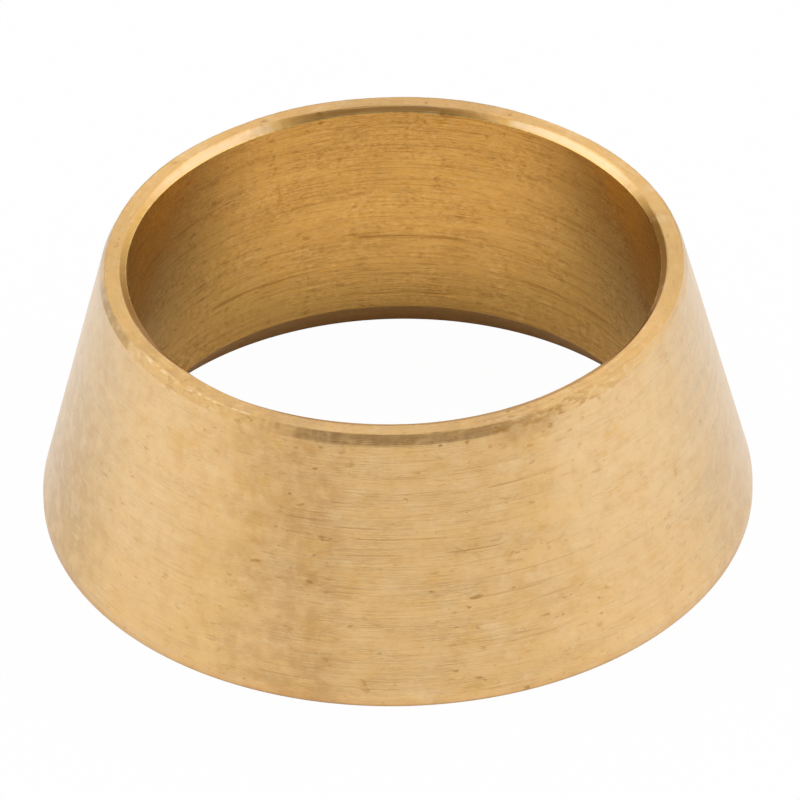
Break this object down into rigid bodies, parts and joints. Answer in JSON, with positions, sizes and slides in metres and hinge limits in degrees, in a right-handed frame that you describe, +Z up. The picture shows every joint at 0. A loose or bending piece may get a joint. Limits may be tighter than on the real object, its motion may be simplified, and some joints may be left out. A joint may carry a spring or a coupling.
{
  "type": "compression olive",
  "caption": "Turned brass sealing ring with a long outside cone and a plain tube bore, pressed by a nut into a fitting's seat so that it grips and seals a tube.",
  "frame": {"origin": "centre of the flat face at the wide end, which the ring stands on", "axes": "+Z up the axis of the bore, from the wide end towards the small end; X and Y are free, because the ring is round"},
  "size_m": [0.0202, 0.0202, 0.0081],
  "materials": {
    "turned_brass": "satin, as turned"
  },
  "bodies": {
    "root": {"compression_olive": "turned_brass"}
  },
  "joints": []
}
